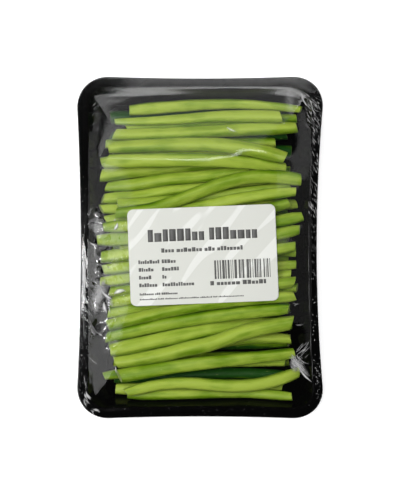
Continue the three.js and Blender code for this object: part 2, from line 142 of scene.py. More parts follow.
class Finish:
    """A node material under construction: add() places a node, sets its properties, and links or sets its
    inputs; the other methods place common ones and give their result socket."""

    def __init__(self, name):
        self.material = bpy.data.materials.new(name)
        self.material.use_nodes = True
        self.tree = self.material.node_tree
        self.shader = self.tree.nodes["Principled BSDF"]

    def feed(self, socket, value):
        if isinstance(value, bpy.types.NodeSocket):
            self.tree.links.new(value, socket)
        else:
            socket.default_value = value

    def add(self, kind, inputs=(), **properties):
        node = self.tree.nodes.new(kind)
        for key, value in properties.items():
            setattr(node, key, value)
        for key, value in dict(inputs).items():
            self.feed(node.inputs[key], value)
        return node

    def set(self, **inputs):
        for key, value in inputs.items():
            self.feed(self.shader.inputs[key.replace("_", " ")], value)

    def sheet(self, size, turn=(0, 0, 0), place=None):
        place = place or self.add("ShaderNodeTexCoord").outputs["Object"]
        inputs = {"Vector": place, "Rotation": turn, "Scale": size}
        return self.add("ShaderNodeMapping", inputs, vector_type="TEXTURE").outputs["Vector"]

    def noise(self, vector, detail=2.0, roughness=0.5):
        inputs = {"Vector": vector, "Scale": 1.0, "Detail": detail, "Roughness": roughness}
        return self.add("ShaderNodeTexNoise", inputs).outputs["Fac"]

    def ramp(self, value, low, high, to_low=0.0, to_high=1.0):
        inputs = {"Value": value, "From Min": low, "From Max": high, "To Min": to_low, "To Max": to_high}
        return self.add("ShaderNodeMapRange", inputs).outputs["Result"]

    def maths(self, operation, *values):
        return self.add("ShaderNodeMath", dict(enumerate(values)), operation=operation).outputs[0]

    def blend(self, factor, first, second):
        return self.add("ShaderNodeMix", {0: factor, 6: first, 7: second}, data_type="RGBA").outputs[2]

    def bump(self, height, strength, distance):
        inputs = {"Height": height, "Strength": strength, "Distance": distance}
        return self.add("ShaderNodeBump", inputs).outputs["Normal"]


PLASTIC_BLACK, SCUFF_GREY = (0.0003, 0.0003, 0.0003, 1), (0.003, 0.0033, 0.003, 1)
plastic = Finish("black formed plastic")
flow = plastic.noise(plastic.sheet((0.022, 0.022, 0.022)), detail=3.0)
scuffs = plastic.noise(plastic.sheet((0.017, 0.0011, 0.0033), turn=(0, 0, 0.6)))
scuffed = plastic.ramp(scuffs, 0.64, 0.8)
plastic.set(
    Specular_IOR_Level=0.06,
    Base_Color=plastic.blend(scuffed, PLASTIC_BLACK, SCUFF_GREY),
    Roughness=plastic.maths("MAXIMUM", plastic.ramp(flow, 0.3, 0.7, 0.10, 0.16),
                            plastic.ramp(scuffed, 0, 1, 0, 0.5)),
    Normal=plastic.bump(plastic.noise(plastic.sheet((0.0007, 0.0007, 0.0007))), 0.06, 0.00003))

# Rows of half size along X, along Y, corner radius, share of the waist, height, and how softly the sheet
# bends there: the underside from the middle out, then the upper side back in.
panel_x, panel_y = FOOT_X - PANEL_INSET, FOOT_Y - PANEL_INSET
tray_profile = np.array([
    (panel_x * 0.5, panel_y * 0.5, 4.0, 0, TRAY_BASE + PANEL_RISE, 0),
    (panel_x - 2.4, panel_y - 2.4, 6.0, 0, TRAY_BASE + PANEL_RISE, 1.0),
    (panel_x, panel_y, 7.0, 0, TRAY_BASE, 1.2),
    (FOOT_X - 1.6, FOOT_Y - 1.6, FOOT_CORNER - 1.6, WAIST_FOOT, TRAY_BASE, 0.9),
    (FOOT_X, FOOT_Y, FOOT_CORNER, WAIST_FOOT, TRAY_BASE + 1.6, 0.9),
    (MOUTH_X + SHEET, MOUTH_Y + SHEET, MOUTH_CORNER + SHEET, WAIST_MOUTH, RIM_TOP - SHEET, 0.8),
    (RIM_X - SHEET, RIM_Y - SHEET, RIM_CORNER - SHEET, 1, RIM_TOP - SHEET, 0.5),
    (RIM_X - 0.5, RIM_Y - 0.5, RIM_CORNER - 0.5, 1, RIM_TOP - TURN_DOWN, 0.1),
    (RIM_X, RIM_Y, RIM_CORNER, 1, RIM_TOP - TURN_DOWN, 0.1),
    (RIM_X - 0.1, RIM_Y - 0.1, RIM_CORNER - 0.1, 1, RIM_TOP, 0.7),
    (MOUTH_X + 0.1, MOUTH_Y + 0.1, MOUTH_CORNER, WAIST_MOUTH, RIM_TOP, 0.8),
    (FOOT_X - SHEET, FOOT_Y - SHEET, FOOT_CORNER - SHEET, WAIST_FOOT, TRAY_BASE + 2.1, 1.6),
    (FOOT_X - 2.4, FOOT_Y - 2.4, FOOT_CORNER - 2.4, WAIST_FOOT, TRAY_BASE + SHEET, 1.2),
    (panel_x + 0.6, panel_y + 0.6, 7.5, 0, TRAY_BASE + SHEET, 1.2),
    (panel_x - 2.1, panel_y - 2.1, 6.4, 0, TRAY_BASE + SHEET + PANEL_RISE, 1.0),
    (panel_x * 0.5, panel_y * 0.5, 4.0, 0, TRAY_BASE + SHEET + PANEL_RISE, 0)])
tray_places = edge_places(arc=14, short=24, long=34)
tray_rings = pack_loops(rounded(tray_profile[:, :5], tray_profile[1:-1, 5]), tray_places)
tray = ring_body("formed_tray", tray_rings, plastic.material)
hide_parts("tray")


# ---- the beans -----------------------------------------------------------------------------------------
# Fine green beans, trimmed at both ends: slim, nearly round pods with a ridge along each seam, slight
# swellings over the seeds and pale cut ends. Each lies where its plain solid lies. The first ones are the
# upper layer. The lower ones get a darker tone, and a few that lie deep in the shade a much darker one:
# painted shade. The skin also darkens towards each seam on the pod's side, partly the seam's own colour
# and partly painted shade on the sides.
BEAN_COUNT, UPPER_BEANS = 57, 35
# Beans darkened nearly to black green: painted shade where they lie deep under the others.
SHADE_PAINTED_BEANS = {31: -0.8, 49: -0.6, 50: -0.6, 51: -1.0}
POD_ROWS, POD_SIDES = 78, 32
STATION_GAP, NOISE_APART = 3.0, 200.0
SEAM_WIDTH, SEAM_RISE, SEED_RISE = 0.2, 0.09, 0.03
CUT_EDGE, LEAN_REACH, SWELL_FADE = 0.18, 9, 12
random = np.random.default_rng(57)


def pod_stations(node):
    """The middle line and the thickness of a plain solid: its corners, sorted along X, fall into rings that
    lie STATION_GAP apart; a station is a ring's mean point and its corners' greatest distance from that."""
    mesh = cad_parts[node].data
    corners = np.empty(len(mesh.vertices) * 3, np.float32)
    mesh.vertices.foreach_get("co", corners)
    corners = np.unique(np.round(corners.reshape(-1, 3) * 1000.0, 3), axis=0)
    corners = corners[np.argsort(corners[:, 0])]
    ring = np.concatenate([[0], np.cumsum(np.diff(corners[:, 0]) > STATION_GAP)])
    count = np.bincount(ring)[:, None]
    middle = np.stack([np.bincount(ring, corners[:, k]) for k in range(3)], 1) / count
    reach = np.zeros(len(middle))
    np.maximum.at(reach, ring, np.linalg.norm(corners - middle[ring], axis=1))
    return middle, reach


def smooth_line(stations, t):
    """A curve through evenly numbered stations at numbers t, as Catmull and Rom give it."""
    line = np.concatenate([[2 * stations[0] - stations[1]], stations, [2 * stations[-1] - stations[-2]]])
    k = np.clip(t.astype(int), 0, len(stations) - 2)
    f = (t - k).reshape(-1, *[1] * (stations.ndim - 1))
    a, b, c, d = (line[k + i] for i in range(4))
    return 0.5 * (2 * b + (c - a) * f + (2 * a - 5 * b + 4 * c - d) * f ** 2
                  + (3 * b - a - 3 * c + d) * f ** 3)


def pod_surface(middle, thickness):
    """A pod's points on a grid of rows along it and columns round it. Rows follow the middle line. Round it
    the section is |cos|^n + |sin / flat|^n = 1, turned slowly along the pod, with a narrow ridge at each
    seam, a swelling over each seed and a slimmer last stretch. The end rows lie in a leaning cut with a soft
    edge and a shallow hollow: share is how far out each lies, and sunk how far in along the pod. Also gives
    the place on the straightened pod, and how much a point belongs to a cut."""
    share = np.array([0, 0.3, 0.56, 0.66, 0.76, 0.88, 0.955, 0.99])
    sunk = np.array([0.12, 0.14, 0.12, 0.05, 0.0, 0.0, 0.02, 0.07])
    body = np.linspace(0, 1, POD_ROWS)
    t = np.concatenate([0 * share, 0.002 + 0.996 * body, 1 + 0 * share])
    across = np.concatenate([share, 1 + 0 * body, share[::-1]])
    inset = np.concatenate([sunk, 0 * body, -sunk[::-1]])
    inset[len(share)], inset[-len(share) - 1] = CUT_EDGE, -CUT_EDGE
    line = smooth_line(middle, t * (len(middle) - 1))
    fine = np.linspace(0, 1, 200)
    ahead = np.gradient(smooth_line(middle, fine * (len(middle) - 1)), axis=0)
    ahead = np.stack([np.interp(t, fine, ahead[:, k]) for k in range(3)], 1)
    ahead /= np.linalg.norm(ahead, axis=1)[:, None]
    side = np.cross((0, 0, 1), ahead)
    side /= np.linalg.norm(side, axis=1)[:, None]
    top = np.cross(ahead, side)
    length = np.linalg.norm(np.diff(middle, axis=0), axis=1).sum()
    along = t * length + inset

    angle = np.linspace(0, 2 * np.pi, POD_SIDES, endpoint=False)
    seam = random.normal(0, 0.5) + random.normal(0, 0.5) * t[:, None]
    turned = angle - seam
    power, flat = random.uniform(2.2, 2.9), random.uniform(0.88, 0.97)
    section = (np.abs(np.cos(turned)) ** power + np.abs(np.sin(turned) / flat) ** power) ** (-1 / power)
    from_seam = np.abs((turned + np.pi / 2) % np.pi - np.pi / 2)
    ridge = np.exp(-(from_seam / SEAM_WIDTH) ** 2)
    pitch, start = random.uniform(8.0, 11.0), random.uniform(0, 10)
    swell = np.sin(np.pi * (along - start) / pitch) ** 4
    swell = swell * np.clip(np.minimum(along, length - along) / SWELL_FADE, 0, 1)
    waver = sum(random.uniform(0.008, 0.02) * np.sin(along / random.uniform(2.2, 6) + random.uniform(0, 6))
                for _ in range(2))
    slim = 1 - sum(random.uniform(0.0, 0.24) * np.clip(1 - end / random.uniform(5, 12), 0, 1) ** 1.5
                   for end in (along, length - along))
    radius = smooth_line(thickness, t * (len(middle) - 1)) * slim * (0.985 + waver)
    radius = radius[:, None] * (section + SEED_RISE * swell[:, None] * np.sin(turned) ** 2)
    radius = (radius + SEAM_RISE * ridge) * across[:, None]

    lean = np.zeros_like(radius)
    for near, way in ((along, 1.0), (length - along, -1.0)):
        slope, turn = random.uniform(0.05, 0.5), random.normal(-0.25, 0.4) + np.pi * random.integers(0, 2)
        depth = slope * (radius * np.cos(angle - turn) + thickness.mean())
        lean += way * depth * np.clip(1 - near[:, None] / LEAN_REACH, 0, 1) ** 2
    points = (line[:, None] + (inset[:, None] + lean)[:, :, None] * ahead[:, None]
              + (radius * np.cos(angle))[:, :, None] * side[:, None]
              + (radius * np.sin(angle))[:, :, None] * top[:, None])
    straight = np.stack([radius * np.cos(turned), radius * np.sin(turned), along[:, None] + lean], 2)
    cut = np.clip((1.0 - across[:, None]) * 20, 0, 1) + 0 * radius
    return points, straight, cut


# The deepest green is painted shade, for the pods' sides and for the beans that lie low.
DEEP_SHADE_GREEN, MID_GREEN = (0.008, 0.060, 0.003, 1), (0.135, 0.255, 0.003, 1)
RIPE_GREEN, SPECK_GREEN = (0.372, 0.490, 0.058, 1), (0.44, 0.52, 0.16, 1)
PITH_MIDDLE, PITH_EDGE = (0.34, 0.46, 0.11, 1), (0.48, 0.58, 0.22, 1)
skin = Finish("green bean skin")
straight = skin.add("ShaderNodeAttribute", attribute_name="straight").outputs["Vector"]
cut_share = skin.add("ShaderNodeAttribute", attribute_name="cut").outputs["Fac"]
tone_and_shade = skin.add("ShaderNodeAttribute", attribute_name="tone_and_shade").outputs["Fac"]
streaks = skin.noise(skin.sheet((0.0013, 0.0013, 0.022), place=straight), detail=2.0, roughness=0.5)
patches = skin.noise(skin.sheet((0.006, 0.006, 0.016), place=straight), detail=2.0)
specks = skin.noise(skin.sheet((0.0011, 0.0011, 0.002), place=straight), detail=1.0)
sides = skin.add("ShaderNodeSeparateXYZ", {0: straight})
core = skin.maths("ADD", skin.maths("MULTIPLY", sides.outputs["X"], sides.outputs["X"]),
                  skin.maths("MULTIPLY", sides.outputs["Y"], sides.outputs["Y"]))
core = skin.maths("SQRT", core)
# Darker towards each seam, which lies on the pod's side: partly the seam's own colour, partly painted shade
# on the sides.
seam_and_side_shade = skin.maths("ABSOLUTE", skin.maths("DIVIDE", sides.outputs["X"], core))
seam_and_side_shade = skin.ramp(seam_and_side_shade, 0.70, 1.0, 0.0, 0.5)
ripeness_and_shade = skin.maths("ADD", skin.ramp(patches, 0.35, 0.65, -0.34, 0.34),
                      skin.ramp(streaks, 0.35, 0.65, -0.13, 0.13))
# Taking the side darkening off the tone pushes the green towards the deepest green: painted shade.
ripeness_and_shade = skin.maths("SUBTRACT", skin.maths("ADD", ripeness_and_shade, tone_and_shade), seam_and_side_shade)
shaded_green = skin.blend(skin.ramp(ripeness_and_shade, -0.6, 0.0), DEEP_SHADE_GREEN, MID_GREEN)
green = skin.blend(skin.ramp(ripeness_and_shade, 0.0, 1.0), shaded_green, RIPE_GREEN)
green = skin.blend(skin.ramp(specks, 0.72, 0.80, 0, 0.35), green, SPECK_GREEN)
pith = skin.blend(skin.ramp(core, 0.0012, 0.0022), PITH_MIDDLE, PITH_EDGE)
skin.set(
    Base_Color=skin.blend(cut_share, green, pith),
    Specular_IOR_Level=0.35,
    Roughness=skin.ramp(skin.maths("ADD", streaks, cut_share), 0.3, 1.4, 0.38, 0.6),
    Normal=skin.bump(streaks, 0.18, 0.00010))


def give_points(piece, name, kind, values):
    """Stores a value or a vector for each point of a piece, which its material reads by this name."""
    attribute = piece.data.attributes.new(name, kind, "POINT")
    attribute.data.foreach_set("vector" if kind == "FLOAT_VECTOR" else "value", values)


pods = [pod_stations(f"bean_{index:02d}") for index in range(1, BEAN_COUNT + 1)]
for index, stations in enumerate(pods, 1):
    node = f"bean_{index:02d}"
    points, straight_points, cut = pod_surface(*stations)
    pod = ring_body(f"pod_{index:02d}", points, skin.material)
    offset = np.array([0, 0, NOISE_APART * index])
    places = np.concatenate([straight_points.reshape(-1, 3) + offset, [offset, offset]]) * MILLIMETRE
    give_points(pod, "straight", "FLOAT_VECTOR", places.ravel())
    give_points(pod, "cut", "FLOAT", np.concatenate([cut.ravel(), [1, 1]]))
    # Lower beans get a darker tone than the upper ones: painted shade from the beans above.
    level = random.uniform(0.42, 0.98) if index <= UPPER_BEANS else random.uniform(-0.1, 0.45)
    give_points(pod, "tone_and_shade", "FLOAT", np.full(cut.size + 2, SHADE_PAINTED_BEANS.get(index, level)))
    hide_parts(node)


# ---- the film ------------------------------------------------------------------------------------------
# Clear PVC stretch film, pulled tight over the beans and the flange, down outside the walls and folded
# together under the base, where its edges don't quite meet. It rests on the top beans and puckers at the rim.
FILM_OUT, FILM_REST, FILM_LOW, FILM_THICK = 0.14, RIM_TOP + 0.25, 0.02, 0.05
BEAN_GAP, SOFT_LIFT = 0.12, 0.3
FOLD_IN, INSET_MOST = 0.9, 66.0
# Shares of the way from the middle to the tray's mouth, where the folds begin and end and the slack is over.
FOLDS_FROM, FOLDS_TO, SLACK_TO = 0.80, 1.04, 0.95
# The beans whose left ends lift blisters; and rises and hollows, by place, two sizes and height.
BLISTERED = slice(13, 28)
RISES = ((16, 48.5, 8, 4, 0.3), (-54.8, -41, 3.0, 3.4, -0.6), (-58.0, 9, 2.4, 4.5, -0.3))
# Heights that stand for no bean, and for a point that nothing holds.
NO_BEAN, FREE = -50.0, -60.0
GRID_X, GRID_Y, GRID_STEP = 66.0, 92.3, 0.65
grid_x = np.arange(-GRID_X, GRID_X + GRID_STEP, GRID_STEP)
grid_y = np.arange(-GRID_Y, GRID_Y + GRID_STEP, GRID_STEP)


def bean_tops(lines):
    """The height of the beans' upper side over the grid: at each x a bean is a circle across Y, so its top is
    the middle's height plus the root of thickness squared less the distance squared."""
    tops = np.full((len(grid_x), len(grid_y)), NO_BEAN)
    for middle, thickness in lines:
        inside = (grid_x >= middle[0, 0]) & (grid_x <= middle[-1, 0])
        y, z, r = (np.interp(grid_x[inside], middle[:, 0], values)[:, None]
                   for values in (middle[:, 1], middle[:, 2], thickness))
        reach = r ** 2 - (grid_y - y) ** 2
        height = np.where(reach > 0, z + np.sqrt(np.maximum(reach, 0)), NO_BEAN)
        tops[inside] = np.maximum(tops[inside], height)
    return tops


def stretched(floor, held, rounds=1600):
    """A skin under even tension over things that hold it up: each point moves to the mean of its neighbours,
    but never under the floor, and held points stay."""
    skin_height = np.where(held > FREE, held, np.maximum(floor, FILM_REST))
    for _ in range(rounds):
        mean = skin_height.copy()
        mean[1:-1, 1:-1] = 0.25 * (skin_height[:-2, 1:-1] + skin_height[2:, 1:-1]
                                   + skin_height[1:-1, :-2] + skin_height[1:-1, 2:])
        skin_height = np.where(held > FREE, held, np.maximum(mean, floor))
    return skin_height


def on_grid(values, x, y):
    """Values of the grid at any x and y, by the mean of the four points round each, weighted by nearness."""
    i = np.clip((x - grid_x[0]) / GRID_STEP, 0, len(grid_x) - 1.001)
    j = np.clip((y - grid_y[0]) / GRID_STEP, 0, len(grid_y) - 1.001)
    a, b = i.astype(int), j.astype(int)
    f, g = i - a, j - b
    return ((values[a, b] * (1 - f) + values[a + 1, b] * f) * (1 - g)
            + (values[a, b + 1] * (1 - f) + values[a + 1, b + 1] * f) * g)


def soften(values, rounds):
    """Values of the grid, each swapped for the mean of itself and its neighbours, again and again."""
    for _ in range(rounds):
        padded = np.pad(values, 1, mode="edge")
        values = (padded[:-2, 1:-1] + padded[2:, 1:-1] + padded[1:-1, :-2] + padded[1:-1, 2:]
                  + 4 * values) / 8
    return values


def hump(x, y, at_x, at_y, wide, long):
    """A hump of height 1: e to minus the sum of the squared distances from its middle over its sizes."""
    return np.exp(-((x - at_x) / wide) ** 2 - ((y - at_y) / long) ** 2)


def puckers(x, y, from_edge):
    """The height of the film's small folds, which run round the pack near the rim: a sum of waves along the
    distance from the middle, bent along the way round, and strongest on the lower left, where bean ends lift
    small blisters too. A few larger rises and hollows are added."""
    far, way = np.hypot(x, y), np.arctan2(y, x)
    waves = 0 * x
    for length, height in ((6.1, 0.10), (4.3, 0.06), (3.1, 0.03)):
        bend = sum(random.uniform(0.4, 1.3) * np.sin(k * way + random.uniform(0, 6)) for k in (5, 9, 16))
        patch = sum(0.4 * np.sin(k * way + random.uniform(0, 6)) for k in (3, 7, 13))
        waves += height * np.clip(0.35 + patch, 0, 1.2) * np.sin(2 * np.pi * far / length + 2.0 * bend)
    waves *= np.clip((from_edge - FOLDS_FROM) / 0.12, 0, 1) * np.clip((FOLDS_TO - from_edge) / 0.05, 0, 1)
    towards_left, towards_low = np.clip(-x / 60, 0, 1), np.clip(0.9 - y / 60, 0, 1)
    lift = waves * (0.04 + 0.35 * towards_left * towards_low + 0.9 * hump(x, y, -57, -22, 12, 26))
    for middle, _ in pods[BLISTERED]:
        end = middle[0] + (random.uniform(-1.0, 3.0), random.uniform(-2, 2), 0)
        wide, long = random.uniform(0.9, 1.6, 2)
        lift += random.uniform(0.25, 0.5) * hump(x, y, end[0], end[1], wide, long)
    for *place, height in RISES:
        lift += height * hump(x, y, *place)
    return lift


mesh_x, mesh_y = np.meshgrid(grid_x, grid_y, indexing="ij")
opening = (((np.abs(mesh_x) - (MOUTH_X - MOUTH_CORNER)).clip(0) ** 2
            + (np.abs(mesh_y) - (MOUTH_Y - MOUTH_CORNER)).clip(0) ** 2) < (MOUTH_CORNER - 0.6) ** 2)
tops = bean_tops(pods) + BEAN_GAP
tight = stretched(np.where(opening, tops, FILM_REST), np.where(opening, FREE, FILM_REST))
random = np.random.default_rng(31)
from_edge = np.maximum(np.abs(mesh_x) / MOUTH_X, np.abs(mesh_y) / MOUTH_Y)
slack = soften(np.maximum(soften(tight, 120), tight), 30) + SOFT_LIFT - tight
draped = tight + slack * np.clip((SLACK_TO - from_edge) / 0.15, 0, 1) + puckers(mesh_x, mesh_y, from_edge)

# The same rows as the tray's: over the top from the middle out, and then down the sides and in under the base
# as far as the slot where the film's edges don't meet.
film_places = edge_places(arc=30, short=84, long=120)
inset = np.concatenate([np.arange(0, 12, 0.55), np.linspace(12, 64, 44)])[::-1]
inwards = 1 - inset / INSET_MOST
top_table = np.stack([
    RIM_X - FOLD_IN - inset, (RIM_Y - FOLD_IN) * inwards,
    np.maximum(2.0, (RIM_CORNER - FOLD_IN) * inwards ** 0.8),
    np.interp(inset, [0, 6, INSET_MOST], [1, WAIST_MOUTH, 0]), FILM_REST + 0 * inset], 1)
top_table[:, 2] = np.minimum(top_table[:, 2], 0.9 * top_table[:, 0])
outer_x, outer_y = RIM_X + FILM_OUT, RIM_Y + FILM_OUT
side_table = rounded(np.array([
    (RIM_X - FOLD_IN, RIM_Y - FOLD_IN, RIM_CORNER - FOLD_IN, 1, FILM_REST),
    (outer_x, outer_y, RIM_CORNER + FILM_OUT, 1, FILM_REST),
    (outer_x, outer_y, RIM_CORNER + FILM_OUT, 1, RIM_TOP - 2.6),
    (FOOT_X + 1.0, FOOT_Y + 1.0, FOOT_CORNER + 0.6, WAIST_FOOT, 1.0),
    (FOOT_X - 0.2, FOOT_Y - 0.2, FOOT_CORNER - 0.2, WAIST_FOOT, FILM_LOW),
    (4.4, 37.4, 4.3, 0, FILM_LOW),
    (3.0, 36.0, 2.9, 0, FILM_LOW)]), np.array([0.5, 1.2, 1.0, 0.6, 0.3]))
top_rings = pack_loops(top_table, film_places)
top_rings[:, :, 2] = on_grid(draped, top_rings[:, :, 0], top_rings[:, :, 1])
film_rings = np.concatenate([top_rings, pack_loops(side_table, film_places)[1:]])


def inside_of(rings, thick):
    """The rings moved inwards by the thickness, along the cross product of the grid's two directions."""
    along = np.gradient(rings, axis=0)
    around = (np.roll(rings, -1, 1) - np.roll(rings, 1, 1)) / 2
    normal = np.cross(around, along)
    return rings + thick * normal / np.maximum(np.linalg.norm(normal, axis=2, keepdims=True), 1e-9)


# Clear where it is seen square on, and a mirror where it slants: the mirror's share is a slant to a power, at
# most MIRROR_SLANT, plus MIRROR_LEAST. The crumples lie round the left bean ends; place and size in metres.
MIRROR_POWER, MIRROR_SLANT, MIRROR_LEAST = 5.0, 0.94, 0.036
CRUMPLE_AT, CRUMPLE_SIZE = (-0.047, -0.010, 0.026), (0.011, 0.034, 1.0)
clear = Finish("clear stretch film")
spot = clear.add("ShaderNodeTexCoord").outputs["Object"]
spot = clear.add("ShaderNodeVectorMath", {0: spot, 1: CRUMPLE_AT}, operation="SUBTRACT").outputs[0]
spot = clear.sheet(CRUMPLE_SIZE, place=spot)
bean_ends = clear.add("ShaderNodeVectorMath", {0: spot}, operation="LENGTH").outputs["Value"]
crumple = clear.noise(clear.sheet((0.0026, 0.0042, 0.003), turn=(0, 0, 0.4)), detail=2.0, roughness=0.45)
crumple = clear.maths("MULTIPLY", clear.ramp(crumple, 0.58, 0.8), clear.ramp(bean_ends, 0.5, 1.0, 1.0, 0.0))
facing = clear.add("ShaderNodeLayerWeight", {"Blend": 0.5}).outputs["Facing"]
slant = clear.maths("POWER", facing, MIRROR_POWER)
shown = clear.add("ShaderNodeMath", {0: slant, 1: MIRROR_SLANT, 2: MIRROR_LEAST},
                  operation="MULTIPLY_ADD", use_clamp=True).outputs[0]
clear.set(Base_Color=(1, 1, 1, 1), Metallic=1.0, Roughness=0.06, Normal=clear.bump(crumple, 1.0, 0.0004))
see_through = clear.add("ShaderNodeBsdfTransparent")
film_mix = clear.add("ShaderNodeMixShader", {
    0: shown, 1: see_through.outputs[0], 2: clear.shader.outputs[0]})
clear.feed(clear.tree.nodes["Material Output"].inputs["Surface"], film_mix.outputs[0])

film_shell = np.concatenate([film_rings, inside_of(film_rings, FILM_THICK)[::-1]])
film = ring_body("stretch_film", film_shell, clear.material)
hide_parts("film")


# ---- the film's creases and painted glints -------------------------------------------------------------
# Where the stretched film is gathered it folds on itself in fine ridges, drawn in a diffuse white that is
# partly the folds' own whitening and partly painted highlight: a hatch along the right flange and the upper
# corners, a fan off one bean's end, short nicks round the rest of the rim, and on the left a few wide veils
# of painted glare and bright streaks of painted glints.
CREASE_LIFT, CREST_MOST, BEND_SPREAD, SHORT = 0.03, 0.15, 0.25, 4


def strewn(count, x, y, heading, length, width, veil):
    """Creases strewn evenly over x[0] to x[1] and y[0] to y[1], drawn in with the rim: for each its start,
    heading, length, width, bend and whiteness. Headings are a mean and a spread, in degrees, and the other
    pairs a least and a most. Long ones bend less."""
    x, y = random.uniform(*x, count), random.uniform(*y, count)
    x = x - x / RIM_X * np.where(x < 0, WAIST_LEFT, WAIST_RIGHT) * (1 - (y / RIM_Y / SIDE_PART) ** 2)
    return np.stack([
        x, y, random.normal(*heading, count), random.uniform(*length, count), random.uniform(*width, count),
        random.normal(0, BEND_SPREAD, count) / np.maximum(1, length[1] / SHORT) ** 2,
        random.uniform(*veil, count)], 1)


def ridges(creases, stations=7):
    """Each crease as a slender closed body of three-sided rings along its bent line, widest at its middle,
    with a low crest, lying on the draped film inside the rim. Also how white each point is, partly the
    fold's whitening and partly painted highlight: only the crest is white."""
    x, y, heading, length, width, bend, veil = (column[:, None] for column in creases.T)
    t = np.linspace(0, 1, stations)
    turned = np.radians(heading) + bend * (t - 0.5)
    along_x, along_y = x + length * t * np.cos(turned), y + length * t * np.sin(turned)
    drawn_in = WAIST_RIGHT * (1 - (along_y / RIM_Y / SIDE_PART) ** 2).clip(0, 1)
    along_x = np.minimum(along_x, RIM_X - 0.5 - drawn_in)
    half = 0.5 * width * np.sin(np.pi * (0.04 + 0.92 * t)) ** 0.7
    left, right = (np.stack([along_x - side * half * np.sin(turned), along_y + side * half * np.cos(turned),
                             0 * along_x], 2) for side in (1, -1))
    crest = np.stack([along_x, along_y, np.minimum(0.5 * half, CREST_MOST)], 2)
    rings = np.stack([right, crest, left], 2)
    rings[..., 2] += on_grid(draped, rings[..., 0], rings[..., 1]) + CREASE_LIFT
    points = np.concatenate([rings.reshape(len(creases), -1, 3), rings[:, [0, -1]].mean(2)], 1)
    whiteness_and_glint = np.zeros((len(creases), stations, 3))
    # The crest's whiteness: partly fold whitening, partly painted highlight.
    whiteness_and_glint[:, :, 1] = veil * np.sin(np.pi * (0.06 + 0.88 * t)) ** 0.5
    whiteness_and_glint = np.concatenate([whiteness_and_glint.reshape(len(creases), -1), whiteness_and_glint[:, [0, -1], 1]], 1)
    count, faces = points.shape[1], closed_faces(stations, 3)
    faces = [[i + count * k for i in face] for k in range(len(creases)) for face in faces]
    return points.reshape(-1, 3), faces, whiteness_and_glint.ravel()


# How many, from where to where along X and along Y, and the heading, length, width and whiteness.
STREWN = (
    (84, (61.8, 65.9), (18, 78), (-64, 8), (1.4, 4.2), (0.20, 0.36), (0.3, 1.0)),  # right flange
    (36, (63.6, 65.9), (-17, 18), (-64, 12), (0.6, 2.4), (0.16, 0.34), (0.12, 0.6)),  # right flange
    (50, (58.0, 65.0), (66, 82), (-54, 8), (1.2, 4.0), (0.20, 0.38), (0.3, 1.0)),  # upper right corner
    (10, (54.5, 58.5), (68, 84), (-57, 4), (3.0, 8.0), (0.16, 0.3), (0.3, 0.8)),  # upper right corner
    (26, (62.8, 65.9), (-86, -20), (-70, 40), (0.4, 1.2), (0.25, 0.6), (0.3, 0.9)),  # right flange
    (14, (52.8, 58.0), (-61, -53), (48, 7), (3.0, 7.5), (0.2, 0.45), (0.3, 0.8)),  # the fan
    (44, (49.2, 55.0), (-64.5, -57.5), (-46, 13), (2.0, 6.5), (0.18, 0.5), (0.3, 0.9)),  # the fan
    (20, (-60.5, -55.5), (62, 82), (52, 14), (1.0, 4.0), (0.2, 0.4), (0.2, 0.7)),  # upper left corner
    (54, (-66.2, -63.6), (-84, 50), (80, 50), (0.3, 1.2), (0.2, 0.4), (0.15, 0.6)),  # left flange
    (24, (-60, 62), (88.6, 91.0), (10, 50), (0.3, 1.2), (0.2, 0.4), (0.2, 0.7)),  # upper end
    (24, (-60, 62), (-91.0, -86.0), (10, 60), (0.3, 1.0), (0.2, 0.4), (0.1, 0.5)),  # lower end
    (12, (-60, -52), (-60, -8), (-25, 30), (1.5, 4.5), (0.2, 0.5), (0.2, 0.6)),  # left bean ends
    (26, (62.15, 62.25), (-66, 76), (-90, 0.2), (10, 14), (0.2, 0.28), (0.1, 0.3)),  # the mouth's right edge
    (12, (-63.4, -61.0), (-84, -76), (-70, 14), (2.0, 5.0), (0.4, 1.1), (0.3, 0.9)),  # lower left corner
    (8, (-60.0, -55.0), (-90, -87.5), (-20, 25), (1.0, 3.0), (0.4, 0.9), (0.3, 0.9)),  # lower left corner
    (26, (-58.0, -48.0), (-34, -2), (-60, 40), (0.6, 2.2), (0.3, 0.9), (0.2, 0.8)),  # left bean ends
    (80, (-66.4, -61.5), (-84, -34), (80, 50), (0.3, 1.0), (0.2, 0.45), (0.2, 0.8)),  # left flange
    (30, (62.5, 66.4), (-84, -60), (-60, 40), (0.3, 1.2), (0.2, 0.45), (0.2, 0.9)))  # lower right corner
